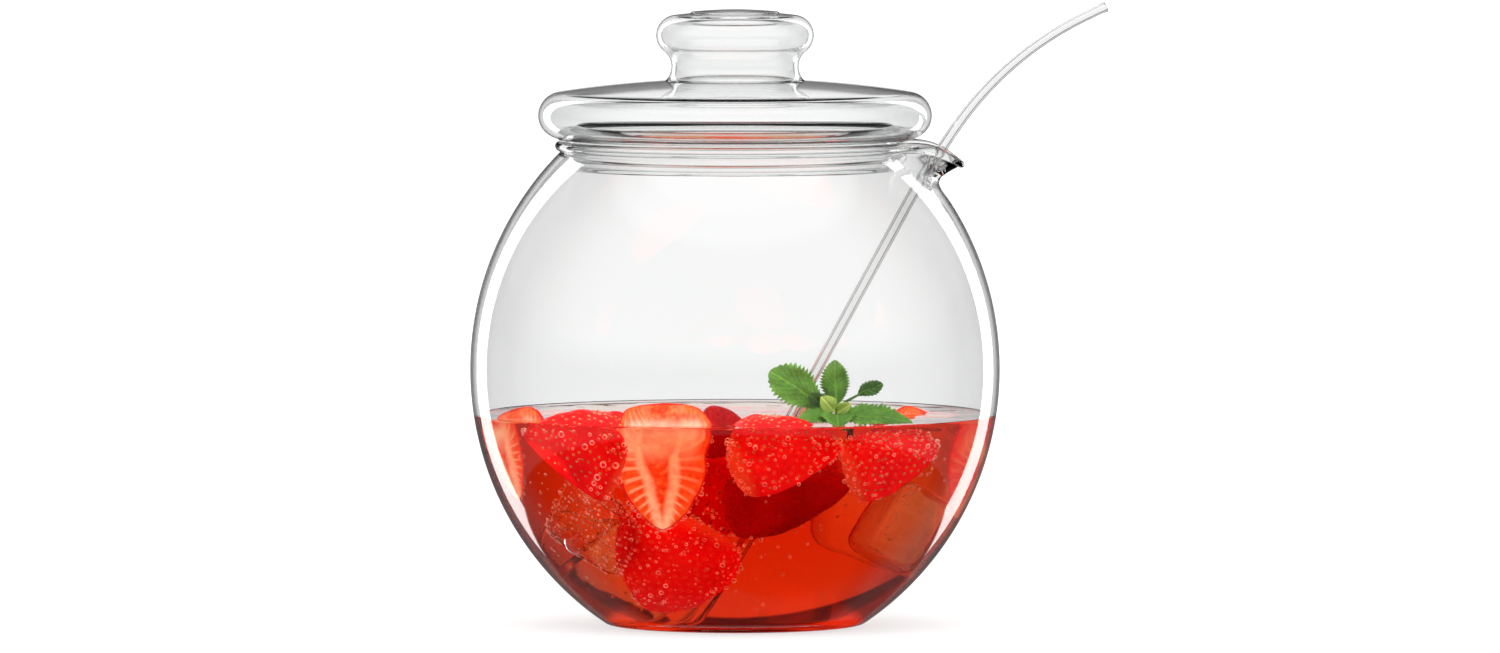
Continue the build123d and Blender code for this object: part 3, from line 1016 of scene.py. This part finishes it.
def leaf_material(name, dark, light):
    """Mint leaf: quilted green, with painted shade darkening its folds, and paler along the veins."""
    mat, n, put = material(name, Roughness=0.5, IOR=1.4)
    green = n.ramp(n.noise(160.0, 3.0), [(0.3, dark), (0.7, light)])
    shade = (dark[0] * 0.4, dark[1] * 0.5, dark[2] * 0.5, 1)
    pale = (min(light[0] * 1.7, 1), min(light[1] * 1.45, 1), light[2] * 1.5, 1)
    # Painted shade: the green darkens where the fold mark is high.
    green = n.mix(n.times(n.attribute("painted_fold_shade"), 0.85), green, shade)
    put("Base Color", n.mix(n.times(n.attribute("vein"), 0.5), green, pale))
    put("Normal", n.bump(n.noise(700.0, 3.0), 0.4, 0.0003))
    return mat


mint = leaf_material("mint_leaf", (0.08, 0.24, 0.014), (0.22, 0.5, 0.05))
# Painted shade: a darker copy of the mint for leaves that lie in shade.
mint_shade = leaf_material("mint_leaf_painted_shade", (0.035, 0.12, 0.01), (0.09, 0.24, 0.025))
mint_young = leaf_material("mint_leaf_young", (0.42, 0.62, 0.07), (0.62, 0.8, 0.16))


def bell(x):
    return np.exp(-(x**2))


def leaf(name, start, end, facing, width, mat, seed, stalk=0.06, bend=0.1, cup=0.25, teeth=15, veins=8,
         blunt=0.86):
    """A serrated leaf from its stalk to its tip. It bends towards its face and its sides curl up a little."""
    start, end = np.array(start, float), np.array(end, float)
    length = norm(end - start)
    d = unit(end - start)
    face = unit(np.array(facing) - d * np.dot(facing, d))
    side = np.cross(d, face)
    rows, cols = 84, 29
    t = np.linspace(0, 1, rows)
    q = np.clip((t - stalk) / (1 - stalk), 0, 1)
    blade = np.sin(pi * q**blunt) ** (0.72 - 0.35 * (blunt - 0.86))
    tooth = (q * teeth) % 1.0
    saw = 1 + 0.3 * (tooth - 0.5) * (q > 0.06) * (q < 0.97)
    half = np.maximum(width / 2 * blade * saw, 0.5 * (1 - t) + 0.12)
    u = np.linspace(-1, 1, cols)
    tt, uu = np.meshgrid(t, u, indexing="ij")
    hh, qq = half[:, None], q[:, None]
    arch = bend * length * np.sin(pi * tt * 0.95)
    lateral = (qq * veins - np.abs(uu) * 1.25 * width / length * veins * 0.62) % 1.0
    off_vein = np.minimum(lateral, 1 - lateral)
    groove = bell(off_vein / 0.14) * (qq > 0.02)
    rib = bell(uu * hh / 0.45)
    vein = np.clip(np.maximum(rib, groove * (1 - np.abs(uu) ** 3) * 0.8), 0, 1)
    # Mask of the painted shade: along the midrib and in the grooves beside the veins.
    painted_fold_shade = np.maximum(bell(uu * hh / 1.3) * 0.8, bell(off_vein / 0.3) * (1 - uu**6))
    quilt = 1.1 * (1 - vein) * (1 - uu**4) * np.minimum(blade[:, None], 1)
    lift = arch + cup * np.abs(uu) ** 1.6 * hh + quilt
    flat = np.stack([tt * length, uu * hh, lift], axis=-1).reshape(-1, 3)
    flat[:, 2] += 0.5 * smooth_noise(flat, seed, 9.0, 2) * np.repeat(blade, cols)
    top = start + np.outer(flat[:, 0], d) + np.outer(flat[:, 1], side) + np.outer(flat[:, 2], face)
    thick = (0.22 + 0.5 * bell(uu * hh / 0.7) * (1 - tt)).reshape(-1)
    under = top - np.outer(thick, face)
    v, n = np.vstack([top, under]), len(top)
    faces = []
    for i in range(rows - 1):
        for j in range(cols - 1):
            a, b = i * cols + j, (i + 1) * cols + j
            faces += [(a, a + 1, b + 1, b), (n + a, n + b, n + b + 1, n + a + 1)]
    border = [*range(cols - 1), *range(cols - 1, n - 1, cols), *range(n - 1, n - cols, -1),
              *range(n - cols, 0, -cols)]
    faces += [(b, a, n + a, n + b) for a, b in zip(border, border[1:] + border[:1])]
    marks = {key: np.tile(value.reshape(-1), 2) for key, value in (("vein", vein), ("painted_fold_shade", painted_fold_shade))}
    make(name, v, outward(v, faces), "bowl", [mat], attributes=marks)


SPRIG = np.array([44.5, -50.0, 96.8])
# Start from the sprig's middle, tip, facing, width, material, seed and shape of each leaf.
LEAVES = {
    "left": ((-5, 2, 1.0), (15.0, -46, 114.4), (-0.3, -0.8, 0.5), 17.5, mint, 51, dict(bend=0.1, blunt=1.25)),
    "upright": ((0, 3, 2), (43.6, -47, 119.5), (0.15, -1.0, 0.1), 12.5, mint, 52,
        dict(bend=-0.04, cup=-0.3, blunt=1.0)),
    "stalked": ((3, 3, 4), (64.6, -46, 108.8), (0.1, -0.75, 0.65), 7.5, mint_shade, 53,
        dict(stalk=0.36, bend=0.05, teeth=8, veins=5, blunt=1.15)),
    "low_right": ((0, -7, -2), (77.0, -70, 93.2), (0.1, -0.6, 0.8), 15, mint, 54,
        dict(stalk=0.02, bend=0.05, blunt=0.7)),
    "low_left": ((0, -7, -2), (26.5, -68, 93.4), (-0.1, -0.6, 0.8), 13, mint, 55,
        dict(stalk=0.02, bend=0.04, blunt=0.7)),
    "front": ((0, -5, -1), (45.0, -76, 91.6), (0.0, -0.6, 0.8), 15, mint, 59, dict(stalk=0.02, bend=0.04)),
    "young_left": ((-1, -6, 0.5), (37.5, -56, 104.0), (-0.2, -0.9, 0.4), 7.5, mint_young, 56, {}),
    "young_right": ((0, -6, 0), (50.5, -58, 101.0), (0.3, -0.8, 0.4), 5.5, mint_young, 57, dict(bend=0.12)),
    "small_back": ((-2, -2, 0), (32.0, -52, 105.0), (-0.2, -0.9, 0.3), 8.5, mint_shade, 58, {}),
}
for name, (start, tip, facing, width, look, seed, shape) in LEAVES.items():
    leaf("mint_leaf_" + name, SPRIG + start, tip, facing, width, look, seed, **shape)


def tube(points, radii, sides=14, rows=28):
    """A closed round tube through points."""
    path = spline(points, np.linspace(0, 1, rows))
    size = np.interp(np.linspace(0, 1, rows), np.linspace(0, 1, len(radii)), radii)
    v = []
    for i, p in enumerate(path):
        d = unit(path[min(i + 1, rows - 1)] - path[max(i - 1, 0)])
        a = unit(np.cross(d, (0.3, 1, 0.2)))
        b = np.cross(d, a)
        for k in range(sides):
            t = 2 * pi * k / sides
            v.append(p + (a * cos(t) + b * sin(t)) * size[i])
    v = np.array(v + [path[0], path[-1]])
    return v, outward(v, tube_faces(rows, sides, len(v) - 2, len(v) - 1))


stem = [SPRIG + (0, -2, 2), SPRIG + (0, 0, -0.5), (44, -47.5, 93), (43, -44, 88.5)]
v, f = tube(stem, [0.8, 1.1, 1.2, 1.1])
make("mint_stem", v, f, "bowl", [mint], attributes={"vein": np.zeros(len(v)), "painted_fold_shade": np.zeros(len(v))})

# ---- punch

def punch_outline():
    reach = BODY_ARC - WALL + OVERLAP
    top = LEVEL + MENISCUS
    angle = degrees(asin((top - BODY_Z) / reach))
    side = arc(BODY_CENTRE, reach, well_angle, angle, 110)
    edge = side[-1]
    skin = [(edge[0] - d, LEVEL + MENISCUS * exp(-d / MENISCUS_REACH))
            for d in (0.15, 0.4, 0.8, 1.3, 2, 3, 4.5, 6.5, 9)]
    flat = line((edge[0] - 11, LEVEL), (0, LEVEL), 46)
    return joined(line((0, FLOOR - OVERLAP), (well_centre[0], FLOOR - OVERLAP), 10),
                  arc(well_centre, WELL + OVERLAP, -90, well_angle, 14), side, skin, flat)


v, f = revolved(punch_outline(), 240)
ripple = (v[:, 2] > LEVEL - 0.5) & (np.hypot(v[:, 0], v[:, 1]) < RIPPLE_REACH)
v[ripple, 2] += RIPPLE * smooth_noise(v[ripple], 5, 26.0)
v, f = merged([(v, f)] + [(shape, faces) for _, _, shape, faces in cavities])
liquid_faces = len(f)
v, f = merged([(v, f)] + bubbles)
make("punch", v, f, "bowl", [punch, bubble_painted_rim], [0] * liquid_faces + [1] * (len(f) - liquid_faces))

# ---- floor, light and camera

FLOOR_RADII = (120, 300, 900, 3000, 9000, 30000)
FLOOR_LEVEL = -0.6


def floor():
    """Pale round floor, which mirrors and refracted rays don't see."""
    v, faces, sides = [(0, 0, FLOOR_LEVEL)], [], 96
    for r in FLOOR_RADII:
        for k in range(sides):
            t = 2 * pi * k / sides
            v.append((r * cos(t), r * sin(t), FLOOR_LEVEL))
    for k in range(sides):
        faces.append((0, 1 + k, 1 + (k + 1) % sides))
        for i in range(len(FLOOR_RADII) - 1):
            a, b = 1 + i * sides, 1 + (i + 1) * sides
            faces.append((a + k, b + k, b + (k + 1) % sides, a + (k + 1) % sides))
    mesh = bpy.data.meshes.new("floor")
    mesh.from_pydata((np.array(v) * MM).tolist(), [], faces)
    mat, n, put = material("floor", Base_Color=(0.3, 0.3, 0.3, 1), Roughness=0.9, Specular_IOR_Level=0.0,
                           Emission_Color=(1, 1, 1, 1))
    coord = n.add("TexCoord").outputs["Object"]
    length = n.add("VectorMath", {0: coord}, operation="LENGTH").outputs["Value"]
    # The floor glows so it reads white. The glow is weaker near the middle, a painted shade round the bowl.
    put("Emission Strength", n.span(length, 0.1, 0.6, 0.68, 0.85))
    mesh.materials.append(mat)
    obj = bpy.data.objects.new("floor", mesh)
    scene.collection.objects.link(obj)
    obj.visible_glossy = False
    obj.visible_transmission = False


floor()


def world():
    """White studio: a window behind, dark gaps beside it, then two tall soft boxes, and light from above.

    Angles are in degrees: side is how far a ray points away from straight back, rise how far up.
    """
    world = bpy.data.worlds.new("studio")
    scene.world = world
    world.use_nodes = True
    world.node_tree.nodes.clear()
    n = Nodes(world.node_tree)
    direction = n.add("TexCoord").outputs["Generated"]
    x, y, z = n.add("SeparateXYZ", {0: direction}).outputs
    side = n.math("DEGREES", n.math("ARCTAN2", n.math("ABSOLUTE", x), y))
    rise = n.math("DEGREES", n.math("ARCSINE", z))
    path = n.add("LightPath").outputs
    through = path["Is Transmission Ray"]
    lit = n.span(path["Diffuse Depth"], 0.0, 1.0)

    def by_ray(reflected, refracted):
        return n.span(through, 0.0, 1.0, reflected, refracted)

    # The window, narrow in reflections and wide through glass. Beyond it are the dark gaps.
    gap = n.times(n.span(rise, 1.0, 4.0, 0.0, 0.85), n.span(rise, 11.0, 14.0, 1.0, 0.0))
    seen = n.times(n.span(side, 5.0, 7.0, 1.0, 0.15), n.math("SUBTRACT", 1.0, gap))
    wide = n.ramp(n.math("DIVIDE", side, 90.0), [(at, (grey,) * 3) for at, grey in (
        (0.0, 1), (0.2, 1), (0.4, 0.5), (0.52, 0.4), (0.62, 0.08))])
    window = n.mix(through, n.grey(seen), wide)
    beyond = n.span(side, 40, 52, 1.0, by_ray(1.6, 1.0))
    behind = n.times(window, beyond, n.span(rise, 33.5, 35, 1.0, 0.04))
    # The room in front.
    strength = n.larger(by_ray(2.0, 0.35), n.times(lit, 2.8))
    front = n.times(n.span(side, 60, 120), strength, n.span(rise, -4, 12))
    level = n.larger(behind, front)
    # The soft boxes, in reflections only.
    box = n.times(n.span(side, 26, 27), n.span(side, 40.5, 42, 1.0, 0.0), n.span(rise, 46, 50, 1.0, 0.0),
                  n.span(side, 26, 41, 2.8, 5.0, smooth=False), by_ray(1.0, 0.0))
    level = n.larger(level, box)
    # The light overhead.
    overhead = n.larger(by_ray(2.4, 1.4), n.times(lit, 3.2))
    start = by_ray(56.0, 45.0)
    level = n.larger(level, n.times(n.span(rise, start, n.math("ADD", start, 8.0)), overhead))
    # The dim room below the table's height.
    below = n.times(n.span(rise, -50, -40, 0.1, 0.4), n.span(side, 40, 65, 1.0, 0.02), by_ray(0.08, 1.0))
    # Rays that were only refracted see a pale room to the sides and below, so glass is clear from there.
    straight = n.times(through, n.math("LESS_THAN", path["Glossy Depth"], 0.5))
    around = n.larger(n.span(side, 75, 95, 0.0, 0.85), n.span(rise, -30, -23, 0.8, 0.0))
    clear = n.times(straight, around)
    below, level = n.larger(below, clear), n.larger(level, clear)
    level = n.mix(n.span(rise, -23, -22), n.grey(below), n.grey(level))
    colour = n.mix(path["Is Camera Ray"], level, (1, 1, 1, 1))
    shader = n.add("Background", {"Color": colour})
    n.add("OutputWorld", {"Surface": shader.outputs[0]})


world()

camera_data = bpy.data.cameras.new("camera")
camera = bpy.data.objects.new("camera", camera_data)
scene.collection.objects.link(camera)
scene.camera = camera
ELEVATION = radians(3.0)
DISTANCE = 9.5
AIM = Vector((0.0066, 0.0, 0.1317))
FRAME_WIDTH = 0.66
SENSOR = 36.0
camera_data.sensor_width = SENSOR
camera_data.lens = SENSOR * DISTANCE / FRAME_WIDTH
camera_data.clip_start = 0.1
camera_data.clip_end = 100.0
camera.location = AIM + DISTANCE * Vector((0, -cos(ELEVATION), sin(ELEVATION)))
camera.rotation_euler = (pi / 2 - ELEVATION, 0, 0)

scene.view_settings.view_transform = "Standard"
scene.cycles.max_bounces = 24
scene.cycles.transmission_bounces = 24
scene.cycles.glossy_bounces = 12
scene.cycles.diffuse_bounces = 3
scene.cycles.transparent_max_bounces = 8
